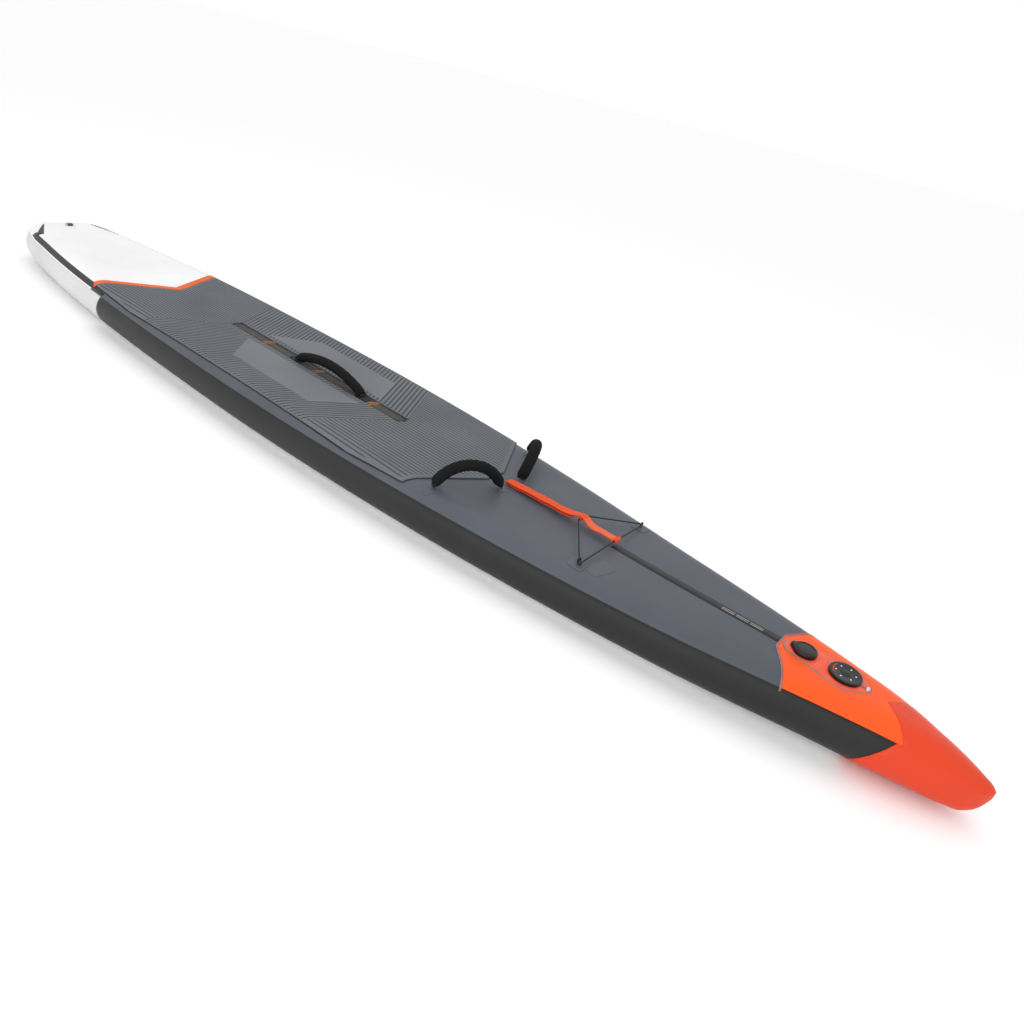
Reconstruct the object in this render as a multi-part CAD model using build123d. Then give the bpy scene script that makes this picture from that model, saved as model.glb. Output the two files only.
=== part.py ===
from build123d import *
import math
import os

# Inflatable race paddleboard. Frame: +X towards the nose, +Y to port, +Z up, in millimetres.
# The origin is under the middle of the board, on the flat bottom.
# "Along" is always measured forward from the tail, and "off" sideways from the centre line.

# ---------------------------------------------------------------- overall sizes
LENGTH = 4270.0              # 14 ft
WIDTH = 660.0                # 26 in
THICKNESS = 156.0            # inflated
DRAWN_LENGTH = 4270.0        # the length and the width that the places below are drawn at:
DRAWN_WIDTH = 660.0          # places stretch with the board, and fittings keep their own size

# ---------------------------------------------------------------- hull
LAMINATE = 1.5               # deck, bottom and rail skins
CAP_WALL = 3.0               # moulded nose cap
TAIL_CORNER = 117.0          # plan radius of the tail corners
TAIL_HALF = 168.0            # half width of the tail end before its corners are rounded
TAIL_SPREAD = 0.24           # half width gained per millimetre near the tail
TAIL_KICK = 10.0             # rise of the bottom at the tail end
DECK_SEAM = 125.0            # height of the seam between deck and rails
BOTTOM_SEAM = 18.0           # height of the seam between rails and bottom
# along and half width, where the deck and the bottom are flat
MIDDLE = [(225, 223), (600, 272), (1050, 307), (1525, 325), (2000, 330), (2475, 314), (2950, 276), (3400, 218)]
# along, half width, rise of the bottom, height of the deck above THICKNESS
NOSE = [
    (3400, 218, 0, 0),
    (3560, 194, 2, 3),
    (3720, 165, 6, 7),
    (3900, 128, 10, 10),
    (4040, 98, 9, 8),
    (4140, 68, 9, -5),
    (4200, 46, 15, -21),
    (4240, 28, 28, -35),
    (4262, 14, 58, -44),
    (4270, 5, 84, -51),
]

# ---------------------------------------------------------------- deck layout
SWEEP = 0.57                 # every chevron on the deck sweeps back by this much per millimetre off
PAD = 5.0                    # foam traction pad
PAD_SIDE = 288.0             # off, of the pad's straight sides, and along, where they end
PAD_KNEES = (1200.0, 2450.0)
PAD_CORNER = 268.0           # off, of the pad's four corners
PAD_TAIL = 1056.0            # along, of the chevron points
PAD_NOSE = 2800.0
PAD_NOSE_BLUNT = 40.0        # half width of the pad's blunt front point
TRIM = 22.0                  # orange strip at the pad's tail edge
TRIM_THICK = 3.0
SLOT = (1450.0, 2392.0)      # along, ends of the slot in the pad
SLOT_WIDE = 50.0
STRIP_THICK = 1.6            # woven strip in the slot
STITCHES = (1659.0, 1950.0, 2242.0)
TAIL_WHITE = 985.0           # along, where the white rail meets the dark rail
ACCENT = (128.0, 142.0)      # heights between which the accent tape lies
ACCENT_RUN = (165.0, 872.0)
TAPE = 0.6
STRIPE = (3262.0, 3745.0)    # dark tape along the centre line
STRIPE_WIDE = 28.0
PATCH_TAIL = 3738.0          # along, tail edge of the nose patch
PATCH_BLUNT = 32.0

# ---------------------------------------------------------------- handles
GRIP = 16.0                  # radius of the padded sleeve
NECK = 5.0                   # radius of the folded webbing inside it
SLEEVE_GAP = 0.2
HANDLE_LIFT = 0.4            # clearance between a folded end and its patch
CENTRE_HANDLE = (2010.0, 0.0, 360.0, 41.0)      # along, off, distance between feet, rise
FRONT_HANDLE = (2806.0, 139.0, 210.0, 70.0)
FRONT_HANDLE_TURN = 60.0     # degrees from the centre line
GRIP_LOW = 24.0              # height where the full sleeve ends
PATCH_SIZE = (56.0, 44.0)
PATCH_THICK = 1.2

# ---------------------------------------------------------------- cargo strap and bungee
STRAP = 25.0
STRAP_THICK = 2.4
STRAP_PATCH = (2866.0, 40.0, 26.0)     # along, length, width
TUNNELS = ((3122.0, 26.0), (3243.0, 20.0))     # along, height above the deck
TUNNEL = (6.0, 3.4)          # outer and inner radius
BUNGEE = 2.0
ANCHOR = (3231.0, 165.0)
ANCHOR_PATCH = 25.0
ANCHOR_LOOP = (7.0, 1.8)
KNOT = 5.5

# ---------------------------------------------------------------- valve plate and valves
PLATE_TOP = THICKNESS + 12.0
PLATE_THICK = 6.0
PLATE_ROUNDS = ((3777.0, 31.0), (3895.0, 58.0), (3944.0, 24.0))     # along, radius
PLATE_TRIM = 4.5             # grey edge band
VALVE_WELL = 52.0            # depth of the barrels under the plate
FRONT_VALVE = 3900.0
REAR_VALVE = 3799.0
RING_GAP = 0.1

# ---------------------------------------------------------------- fin box and leash ring
FIN_BOX = (560.0, 262.0, 30.0, 32.0)      # along, length, width, depth
FIN_FLANGE = (296.0, 62.0, 4.0)
FIN_SLOT = (252.0, 9.6, 26.0)
FIN_CHANNEL = (15.0, 5.0, 8.0)            # width, height, distance below the mouth
LEASH = (112.0, 0.0)
LEASH_BAR = 2.2
LEASH_AXLE = THICKNESS + 10.0
LEASH_RING = 15.0

os.makedirs("parts", exist_ok=True)


# ---------------------------------------------------------------- helpers
def at(along):
    return along * LENGTH / DRAWN_LENGTH - LENGTH / 2


def out(off):
    return off * WIDTH / DRAWN_WIDTH


def block(x, y, z):
    """A box between pairs of limits."""
    size = [b - a for a, b in (x, y, z)]
    middle = [(a + b) / 2 for a, b in (x, y, z)]
    return Pos(*middle) * Box(*size)


def prism(points, z):
    """An upright prism on plan points, between two heights."""
    return Pos(0, 0, z[0]) * extrude(make_face(Polyline(*points, close=True)), z[1] - z[0])


def side_prism(points):
    """A prism across the whole board on side-view points."""
    face = make_face(Polyline(*[(x, 0, z) for x, z in points], close=True))
    return extrude(face, WIDTH, dir=(0, 1, 0), both=True)


def disc(radius, z, place=(0, 0)):
    return Pos(place[0], place[1], z[0]) * extrude(Circle(radius), z[1] - z[0])


def tube(outer, inner, z, place=(0, 0)):
    return disc(outer, z, place) - disc(inner, (z[0] - 1, z[1] + 1), place)


def bar_y(radius, length, x, y, z):
    return Pos(x, y, z) * Rot(90, 0, 0) * Cylinder(radius, length)


def mirrored(shape):
    return shape.mirror(Plane.XZ)


def save(name, shape):
    if isinstance(shape, (list, tuple)):
        shape = Compound(children=[s for part in shape for s in part.solids()])
    export_step(shape, "parts/" + name + ".step")


# ---------------------------------------------------------------- hull surface
def section(x, half, low, high, grow):
    """A rounded hull section, offset outwards by grow."""
    half = half + grow
    tall = (high - low) / 2 + grow
    plane = Plane(origin=(x, 0, (low + high) / 2), x_dir=(0, 1, 0), z_dir=(1, 0, 0))
    return plane * RectangleRounded(2 * half, 2 * tall, 0.985 * min(half, tall))


def tail_sections(grow):
    """The rounded tail end: its edge is a half circle, and its corners are arcs in plan."""
    rail = THICKNESS / 2 + grow
    corner = TAIL_CORNER + grow
    first = rail * (1 - math.cos(math.radians(12)))
    insets = [rail * (1 - math.cos(math.radians(step))) for step in (12, 26, 40, 54, 67, 79, 90)]
    found = []
    for inset in insets + [TAIL_CORNER + 5, MIDDLE[0][0] - 55]:
        short = max(0.0, corner - inset)
        tall = math.sqrt(rail**2 - max(0.0, rail - inset) ** 2)
        half = out(TAIL_HALF) + TAIL_SPREAD * (inset - first) - TAIL_CORNER + math.sqrt(corner**2 - short**2)
        middle = THICKNESS / 2 + TAIL_KICK * max(0.0, 1 - inset / MIDDLE[0][0]) ** 2
        found.append(section(at(0) - grow + inset - first, half, middle - tall, middle + tall, 0))
    return found


def fair(rows):
    """The same rows with one more between each two, on a smooth curve through them."""
    found = [rows[0]]
    for k in range(len(rows) - 1):
        before = rows[k - 1] if k else [2 * a - b for a, b in zip(rows[0], rows[1])]
        after = rows[k + 2] if k + 2 < len(rows) else [2 * a - b for a, b in zip(rows[-1], rows[-2])]
        near = [(a + b) / 2 for a, b in zip(rows[k], rows[k + 1])]
        found.append([n + (2 * n - a - b) / 16 for n, a, b in zip(near, before, after)])
        found.append(rows[k + 1])
    return found


def hull(grow, cache={}):
    """The board's outside, offset by grow: a tail, a flat middle and a nose."""
    if grow not in cache:
        middle = [section(at(a), out(half), 0, THICKNESS, grow) for a, half in fair(MIDDLE)]
        nose = []
        for along, half, rise, lift in NOSE:
            if min(out(half), (THICKNESS + lift - rise) / 2) + grow > 2.5:
                nose.append(section(at(along), out(half), rise, THICKNESS + lift, grow))
        tail = tail_sections(grow) + [middle[0]]
        cache[grow] = loft(tail, ruled=True) + loft(middle, ruled=True) + loft(nose, ruled=True)
    return cache[grow]


def layer(outline, thick, floor=None):
    """A sheet that lies on the deck inside an upright outline."""
    sheet = hull(thick) & outline
    return sheet - (hull(0) if floor is None else floor)


def whole_plan(z):
    return block((at(-200), at(DRAWN_LENGTH + 200)), (-WIDTH, WIDTH), z)


def chevron(point, z, length=6000.0, blunt=0.0):
    """Everything forward of a swept line whose point is on the centre line."""
    tip = at(point)
    wing = out(DRAWN_WIDTH)
    back = tip - SWEEP * (wing - blunt)
    points = [(tip, -blunt), (back, -wing), (back + length, -wing), (back + length, wing), (back, wing)]
    if blunt:
        return prism(points + [(tip, blunt)], z)
    return prism(points[1:] + [(tip, 0)], z)


# ---------------------------------------------------------------- hull pieces
def cap_region():
    """Everything forward of the nose cap's edge, which leans forward on the rails."""
    low = [(3965, -5), (3990, 20), (4019, 50), (4043, 90), (4053, 114), (4060, 134), (4000, 134)]
    high = THICKNESS + 60
    points = [(at(a), z) for a, z in low] + [(at(4000), high), (at(4400), high), (at(4400), -5)]
    forward = prism(
        [(at(4006), 0), (at(4048), 51), (at(4072), 78), (at(4072), 400), (at(4400), 400),
         (at(4400), -400), (at(4072), -400), (at(4072), -78), (at(4048), -51)],
        (134, high),
    )
    lower = block((at(3900), at(4400)), (-WIDTH, WIDTH), (-5, 134))
    return side_prism(points) & (forward + lower)


def seam_region():
    """Everything above the deck seam, which rises with the nose."""
    points = [(0, DECK_SEAM + 8), (450, DECK_SEAM), (3150, DECK_SEAM), (3700, DECK_SEAM + 6),
              (3900, DECK_SEAM + 9), (4300, DECK_SEAM + 9)]
    top = THICKNESS + 80
    ends = [(at(4300), top), (at(-50), top), (at(-50), DECK_SEAM + 8)]
    return side_prism([(at(a), z) for a, z in points] + ends)


def white_region():
    """Everything aft of the curved edge of the white tail rail."""
    edge = [(TAIL_WHITE + 8, 200), (TAIL_WHITE - 2, 125), (TAIL_WHITE - 16, 95), (TAIL_WHITE - 26, 60),
            (TAIL_WHITE - 28, 20), (TAIL_WHITE - 28, -20)]
    points = [(at(a), z) for a, z in edge] + [(at(-60), -20), (at(-60), 200)]
    return side_prism(points)


def patch_region():
    """Everything forward of the nose patch's blunt tail edge."""
    blunt = out(PATCH_BLUNT)
    start = at(PATCH_TAIL)
    points = [(start, -blunt), (start + 0.62 * 260, -blunt - 260), (at(4400), -blunt - 260),
              (at(4400), blunt + 260), (start + 0.62 * 260, blunt + 260), (start, blunt)]
    return prism(points, (100, THICKNESS + 60))


def plate_outline(grow=0.0):
    """The valve plate's plan: a belt round three circles."""
    edges = ShapeList()
    for along, radius in PLATE_ROUNDS:
        edges += (Pos(at(along), 0) * Circle(radius + grow)).edges()
    return make_hull(edges)


def plate_solid(z, grow=0.0):
    return Pos(0, 0, z[0]) * extrude(plate_outline(grow), z[1] - z[0])


def valve_hole(along, radius):
    return disc(radius, (PLATE_TOP - PLATE_THICK - VALVE_WELL - 12, PLATE_TOP + 40), (at(along), 0))


def fin_pocket():
    along, length, wide, deep = FIN_BOX
    flange = Pos(at(along), 0, FIN_FLANGE[2] / 2 - 5) * Box(FIN_FLANGE[0], FIN_FLANGE[1], FIN_FLANGE[2] + 10)
    box = Pos(at(along), 0, deep / 2) * Box(length, wide, deep)
    return flange + box


def hull_pieces():
    """The air core, the skins around it, and the nose cap."""
    outside = hull(0)
    core = hull(-LAMINATE)
    cap = (outside & cap_region()) - hull(-CAP_WALL)
    shell = outside - core - cap_region()
    above = seam_region()
    below = whole_plan((-60, BOTTOM_SEAM))
    plate = plate_solid((PLATE_TOP - PLATE_THICK, PLATE_TOP + 40))
    pocket = fin_pocket()
    deck = shell & above
    rest = shell - above
    rails = rest - below
    white_edge = chevron(PAD_TAIL - TRIM / 2, (-50, 300))
    patch = patch_region()
    save("tail_deck_panel", deck - white_edge)
    save("deck_panel", (deck & white_edge) - patch)
    save("nose_deck_patch", (deck & patch) - plate)
    save("bottom_panel", (rest & below) - pocket)
    white = white_region()
    save("tail_rail_wrap", rails & white)
    dark = rails - white
    save("port_rail_band", dark & block((at(-60), at(4400)), (0, WIDTH), (-60, 300)))
    save("starboard_rail_band", dark & block((at(-60), at(4400)), (-WIDTH, 0), (-60, 300)))
    save("nose_cap", cap)
    holes = plate + pocket + valve_hole(FRONT_VALVE, 35) + valve_hole(REAR_VALVE, 28)
    save("drop_stitch_core", core - cap - holes)


# ---------------------------------------------------------------- deck coverings
def pad_outline(z):
    corner, side, blunt = out(PAD_CORNER), out(PAD_SIDE), out(PAD_NOSE_BLUNT)
    half = [(at(PAD_TAIL), 0), (at(PAD_TAIL) - SWEEP * corner, corner), (at(PAD_KNEES[0]), side),
            (at(PAD_KNEES[1]), side), (at(PAD_NOSE) - SWEEP * (corner - blunt), corner), (at(PAD_NOSE), blunt)]
    return prism(half + [(x, -y) for x, y in reversed(half[1:])], z)


def slot_outline(z, grow=0.0):
    width = SLOT_WIDE + 2 * grow
    return block((at(SLOT[0]) - grow, at(SLOT[1]) + grow), (-width / 2, width / 2), z)


def deck_coverings():
    span = (110, 220)
    pad = layer(pad_outline(span), PAD) - slot_outline(span, 0.3)
    save("traction_pad", pad)
    trim = chevron(PAD_TAIL - TRIM - 0.3, span) - chevron(PAD_TAIL - 0.3, span)
    band = block((at(0), at(3200)), (-out(PAD_CORNER), out(PAD_CORNER)), span)
    save("pad_trim_strip", layer(trim & band, TRIM_THICK))
    strip = slot_outline((THICKNESS, THICKNESS + STRIP_THICK))
    save("pad_centre_strip", strip)
    bars = []
    top = THICKNESS + STRIP_THICK
    for along in STITCHES:
        for k in (-1, 1):
            bars.append(Pos(at(along) + 5 * k, 0, top + 0.6) * Box(3, SLOT_WIDE - 8, 1.2))
    save("strip_stitches", bars)
    stripe = block((at(STRIPE[0]), at(STRIPE[1])), (-STRIPE_WIDE / 2, STRIPE_WIDE / 2), (120, 200))
    save("centre_stripe_tape", layer(stripe - patch_region(), TAPE))
    run = (at(ACCENT_RUN[0]), at(ACCENT_RUN[1]))
    port = layer(block(run, (0, WIDTH), ACCENT), TAPE)
    save("port_accent_tape", port)
    save("starboard_accent_tape", mirrored(port))


# ---------------------------------------------------------------- handles
def arch(feet, rise):
    """The handle's centre line: an arc between its feet, in the XZ plane."""
    return ThreePointArc((-feet / 2, 0, 0), (0, 0, rise), (feet / 2, 0, 0))


def arch_point(feet, rise, height):
    """How far from the middle the arc is at a height, and its slope angle there."""
    radius = (feet**2 / 4 + rise**2) / (2 * rise)
    reach = math.sqrt(radius**2 - (radius - rise + height) ** 2)
    return reach, math.degrees(math.asin(reach / radius))


def handle(feet, rise):
    """Folded webbing with round ends, and the padded sleeve around it; the hinge line is z = 0."""
    path = arch(feet, rise)
    webbing = sweep(Plane(origin=path @ 0, z_dir=path % 0) * Circle(NECK), path)
    webbing = webbing + Pos(-feet / 2, 0, 0) * Sphere(NECK) + Pos(feet / 2, 0, 0) * Sphere(NECK)
    reach, slope = arch_point(feet, rise, GRIP_LOW)
    upper = ThreePointArc((-reach, 0, GRIP_LOW), (0, 0, rise), (reach, 0, GRIP_LOW))
    start = Plane(origin=upper @ 0, z_dir=upper % 0)
    sleeve = sweep(start * Circle(GRIP), upper) - sweep(start * Circle(NECK + SLEEVE_GAP), upper)
    return webbing, sleeve


def handle_patches(feet, base):
    found = []
    for end in (-1, 1):
        face = RectangleRounded(PATCH_SIZE[0], PATCH_SIZE[1], 14)
        found.append(Pos(end * feet / 2, 0, base) * extrude(face, PATCH_THICK))
    return found


def handles():
    along, off, feet, rise = CENTRE_HANDLE
    base = THICKNESS + STRIP_THICK
    lift = base + PATCH_THICK + NECK + HANDLE_LIFT
    webbing, sleeve = handle(feet, rise)
    save("centre_handle_webbing", Pos(at(along), off, lift) * webbing)
    save("centre_handle_grip", Pos(at(along), off, lift) * sleeve)
    plates = []
    for end in (-1, 1):
        face = RectangleRounded(60, SLOT_WIDE - 12, 8)
        plates.append(Pos(at(along) + end * feet / 2, 0, base) * extrude(face, PATCH_THICK))
    save("centre_handle_anchors", plates)
    along, off, feet, rise = FRONT_HANDLE
    lift = THICKNESS + PATCH_THICK + NECK + HANDLE_LIFT
    webbing, sleeve = handle(feet, rise)
    turn = Rot(0, 0, -FRONT_HANDLE_TURN)
    place = Pos(at(along), out(off), lift) * turn
    save("port_handle_webbing", place * webbing)
    save("port_handle_grip", place * sleeve)
    save("starboard_handle_webbing", mirrored(place * webbing))
    save("starboard_handle_grip", mirrored(place * sleeve))
    flat = Pos(at(along), out(off), 0) * turn
    outlines = [flat * patch for patch in handle_patches(feet, 0)]
    port = []
    for shape in outlines:
        middle = shape.center()
        tall = Pos(middle.X, middle.Y, 120) * turn * extrude(RectangleRounded(*PATCH_SIZE, 14), 80)
        port.append(layer(tall, PATCH_THICK))
    save("front_handle_anchors", port + [mirrored(shape) for shape in port])


# ---------------------------------------------------------------- cargo strap and bungee
def strap():
    """The strap is sewn down at its tail end and rises over the bungee."""
    rear, front = TUNNELS
    foot = STRAP_PATCH[0]
    deck = THICKNESS + PATCH_THICK + STRAP_THICK / 2
    points = [(at(foot) - 14, deck), (at(foot) + 12, deck), (at(foot) + 60, deck + 9),
              (at(rear[0]) - 40, THICKNESS + rear[1] - 3), (at(rear[0]) - 6, THICKNESS + rear[1] + 7),
              (at(rear[0]) + 6, THICKNESS + rear[1] + 7), (at(rear[0]) + 30, THICKNESS + front[1] + 1),
              (at(front[0]), THICKNESS + front[1])]
    line = Polyline(*[(x, z) for x, z in points])
    flat = Plane.XZ * trace(line, STRAP_THICK)
    web = extrude(flat, STRAP / 2, both=True)
    for along, height in TUNNELS:
        web = web + bar_y(TUNNEL[0], STRAP, at(along), 0, THICKNESS + height)
    for along, height in TUNNELS:
        web = web - bar_y(TUNNEL[1], STRAP + 4, at(along), 0, THICKNESS + height)
    save("deck_strap", web)
    flat = RectangleRounded(STRAP_PATCH[1], STRAP_PATCH[2], 5)
    save("strap_patch", Pos(at(foot), 0, THICKNESS) * extrude(flat, PATCH_THICK))


def bungee():
    """One cord from its knot through the starboard loop, the tunnels and the port loop, and back."""
    x, y = at(ANCHOR[0]), out(ANCHOR[1])
    stand = THICKNESS + PATCH_THICK
    low = stand + ANCHOR_LOOP[0]
    rear, front = [(at(a), THICKNESS + h) for a, h in TUNNELS]
    side = STRAP / 2 + 8
    knot = Pos(x + 9, -y - 9, low) * Sphere(KNOT)
    route = [(x + 9, -y - 12, low), (rear[0], -side, rear[1]), (rear[0], side, rear[1]), (x + 3.3, y + 8.4, low),
             (front[0], side, front[1]), (front[0], -side, front[1]), (x + 9.5, -y - 8, low)]
    radii = [7, 7, 5, 7, 7]
    path = FilletPolyline(*route, radius=radii)
    cord = sweep(Plane(origin=path @ 0, z_dir=path % 0) * Circle(BUNGEE), path)
    print("bungee: volume over section times length =", round(cord.volume / (math.pi * BUNGEE**2 * path.length), 4))
    save("bungee_cord", cord - knot)
    save("bungee_knot", knot)
    loops = []
    patches = []
    for off in (-y, y):
        hoop = Pos(x, off, low) * Rot(0, 90, 0) * Torus(*ANCHOR_LOOP)
        loops.append(hoop & block((x - 20, x + 20), (off - 20, off + 20), (stand, stand + 40)))
        patches.append(layer(disc(ANCHOR_PATCH, (120, 220), (x, off)), PATCH_THICK))
    save("bungee_anchor_loops", loops)
    save("bungee_anchor_patches", patches)


# ---------------------------------------------------------------- valves
def valve(prefix, along, sizes):
    """A push valve: body with a spider, nut, gasket, sprung plunger. All radii come from sizes."""
    flange, barrel, bore, poppet = sizes
    place = (at(along), 0)
    top = PLATE_TOP
    floor = top - PLATE_THICK - VALVE_WELL
    seat = floor + 8
    body = tube(flange, bore, (top + 1, top + 4), place) + tube(barrel, bore, (floor, top + 1), place)
    body = body + tube(bore + 0.5, poppet - 4, (seat, seat + 3), place)
    spider = seat + 12
    arms = Pos(place[0], 0, spider + 2) * (Box(2 * bore + 1, 4, 4) + Box(4, 2 * bore + 1, 4))
    body = body + arms + disc(5.5, (spider, spider + 4), place) - disc(3.1, (spider - 1, spider + 5), place)
    save(prefix + "_valve_body", body)
    save(prefix + "_valve_gasket", tube(flange - 2, barrel, (top, top + 1), place))
    under = top - PLATE_THICK
    save(prefix + "_valve_nut", tube(barrel + 8, barrel, (under - 9, under), place))
    button = top - 8
    stem = disc(3.0, (seat - 4, button), place)
    plunger = stem + disc(7.5, (button - 3, button), place) + disc(poppet - 0.6, (seat - 6, seat - 2.4), place)
    save(prefix + "_valve_plunger", plunger)
    save(prefix + "_valve_seal", tube(poppet - 0.6, 3.0, (seat - 2.4, seat - 0.3), place))
    low, high = spider + 4, button - 3
    coil = Helix(pitch=(high - low - 1.6) / 5, height=high - low - 1.6, radius=5.4)
    wire = sweep(Plane(origin=coil @ 0, z_dir=coil % 0) * Circle(0.7), coil)
    save(prefix + "_valve_spring", Pos(place[0], 0, low + 0.8) * wire)


def front_cap():
    place = (at(FRONT_VALVE), 0)
    top = PLATE_TOP
    ring = tube(35, 32 + RING_GAP, (top + 1, top + 6), place)
    save("front_cap_ring", ring)
    cup = disc(40, (top + 0.7, top + 10), place) - disc(35 + RING_GAP, (top, top + 7), place)
    edge = cup.faces().sort_by(Axis.Z)[-1].edges()
    cup = fillet(edge, 2.0)
    grooves = [Pos(place[0] + 22 * s, 0, top + 10) * Box(3, 20, 1.6) for s in (-1, 1)]
    save("front_valve_cap", cup - grooves[0] - grooves[1])
    save("front_cap_gasket", tube(31, 21, (top + 4.4, top + 7), place))
    link = block((place[0] + 41, at(3953)), (-4, 4), (top, top + 1.6))
    save("cap_tether", link)
    save("tether_tag", block((at(3953), at(3953) + 8), (-9, 9), (top, top + 2.2)))


def rear_cap():
    x = at(REAR_VALVE)
    top = PLATE_TOP
    outline = make_hull((Pos(x, 0) * Circle(30)).edges() + (Pos(x - 30, 0) * Circle(7)).edges())
    dome = Pos(0, 0, top + 0.4) * extrude(outline, 12)
    dome = fillet(dome.faces().sort_by(Axis.Z)[-1].edges(), 5)
    cup = dome - disc(25, (top, top + 8), (x, 0))
    save("rear_valve_cap", cup)


def valve_plate():
    solid = plate_solid((PLATE_TOP - PLATE_THICK, PLATE_TOP))
    inner = plate_solid((PLATE_TOP - 2, PLATE_TOP + 1), -PLATE_TRIM)
    trim = plate_solid((PLATE_TOP - 2, PLATE_TOP)) - inner
    holes = valve_hole(FRONT_VALVE, 24) + valve_hole(REAR_VALVE, 17)
    save("valve_plate", solid - trim - holes)
    save("valve_plate_edge", trim)


# ---------------------------------------------------------------- fin box and leash ring
def fin_box():
    along, length, wide, deep = FIN_BOX
    x = at(along)
    body = Pos(x, 0, FIN_FLANGE[2] / 2) * Box(*FIN_FLANGE) + Pos(x, 0, deep / 2) * Box(length, wide, deep)
    slot = Pos(x, 0, FIN_SLOT[2] / 2 - 1) * Box(FIN_SLOT[0], FIN_SLOT[1], FIN_SLOT[2] + 2)
    width, height, below = FIN_CHANNEL
    channel = Pos(x, 0, below + height / 2) * Box(FIN_SLOT[0], width, height)
    mouth = Pos(x, 0, below / 2) * Box(20, width, below + 2)
    save("fin_box", body - slot - channel - mouth)


def leash_plug():
    x, y = at(LEASH[0]), LEASH[1]
    patch = layer(disc(27, (120, 220), (x, y)), PATCH_THICK)
    save("leash_patch", patch)
    outer = LEASH_BAR + 3.0
    loop = bar_y(outer, 20, x, y, LEASH_AXLE)
    loop = loop + block((x - outer, x + outer), (y - 10, y + 10), (LEASH_AXLE - 20, LEASH_AXLE))
    loop = loop - bar_y(LEASH_BAR + 0.3, 24, x, y, LEASH_AXLE) - hull(PATCH_THICK)
    save("leash_loop", loop)
    path = Wire([
        Line((0, -LEASH_RING, 0), (0, LEASH_RING, 0)),
        Line((0, LEASH_RING, 0), (-8, LEASH_RING, 0)),
        ThreePointArc((-8, LEASH_RING, 0), (-8 - LEASH_RING, 0, 0), (-8, -LEASH_RING, 0)),
        Line((-8, -LEASH_RING, 0), (0, -LEASH_RING, 0)),
    ])
    ring = sweep(Plane(origin=(0, 0, 0), z_dir=(0, 1, 0)) * Circle(LEASH_BAR), path, transition=Transition.ROUND)
    save("leash_ring", Pos(x, y, LEASH_AXLE) * ring)


hull_pieces()
deck_coverings()
handles()
strap()
bungee()
valve_plate()
valve("front", FRONT_VALVE, (32.0, 24.0, 20.0, 17.0))
valve("rear", REAR_VALVE, (23.0, 17.0, 14.0, 12.0))
front_cap()
rear_cap()
fin_box()
leash_plug()
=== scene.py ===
import bmesh
import bpy
import math
from mathutils import Matrix, Vector


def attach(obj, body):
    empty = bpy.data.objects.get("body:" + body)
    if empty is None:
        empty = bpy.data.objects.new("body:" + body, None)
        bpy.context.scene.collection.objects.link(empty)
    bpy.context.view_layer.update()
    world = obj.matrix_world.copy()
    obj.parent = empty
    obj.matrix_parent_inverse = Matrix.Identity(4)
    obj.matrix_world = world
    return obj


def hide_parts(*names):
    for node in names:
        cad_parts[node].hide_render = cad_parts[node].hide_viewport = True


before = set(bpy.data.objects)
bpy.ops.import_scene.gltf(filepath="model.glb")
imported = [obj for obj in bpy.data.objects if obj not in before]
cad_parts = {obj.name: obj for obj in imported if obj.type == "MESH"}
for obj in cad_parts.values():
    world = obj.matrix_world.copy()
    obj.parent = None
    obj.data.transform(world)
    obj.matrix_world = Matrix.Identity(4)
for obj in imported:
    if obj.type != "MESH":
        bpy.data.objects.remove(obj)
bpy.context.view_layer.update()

# Places along the board are in metres forward of the tail, as "a"; x = a - HALF_LENGTH.
HALF_LENGTH = 2.135
THICKNESS = 0.156
SWEEP = 0.57

# ------------------------------------------------------------------ camera
camera_data = bpy.data.cameras.new("camera")
camera_data.lens = 26.572
camera_data.sensor_width = 36.0
camera_data.clip_start = 0.05
camera = bpy.data.objects.new("camera", camera_data)
bpy.context.scene.collection.objects.link(camera)
camera_right = Vector((0.755235, 0.620310, 0.211746))
camera_up = Vector((-0.459415, 0.270552, 0.846014))
camera_back = Vector((0.467502, -0.736218, 0.489310))
camera_turn = Matrix((camera_right, camera_up, camera_back)).transposed().to_4x4()
camera.matrix_world = Matrix.Translation((1.8287, -1.6934, 1.2003)) @ camera_turn
bpy.context.scene.camera = camera
bpy.context.scene.view_settings.view_transform = "Standard"


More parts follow.
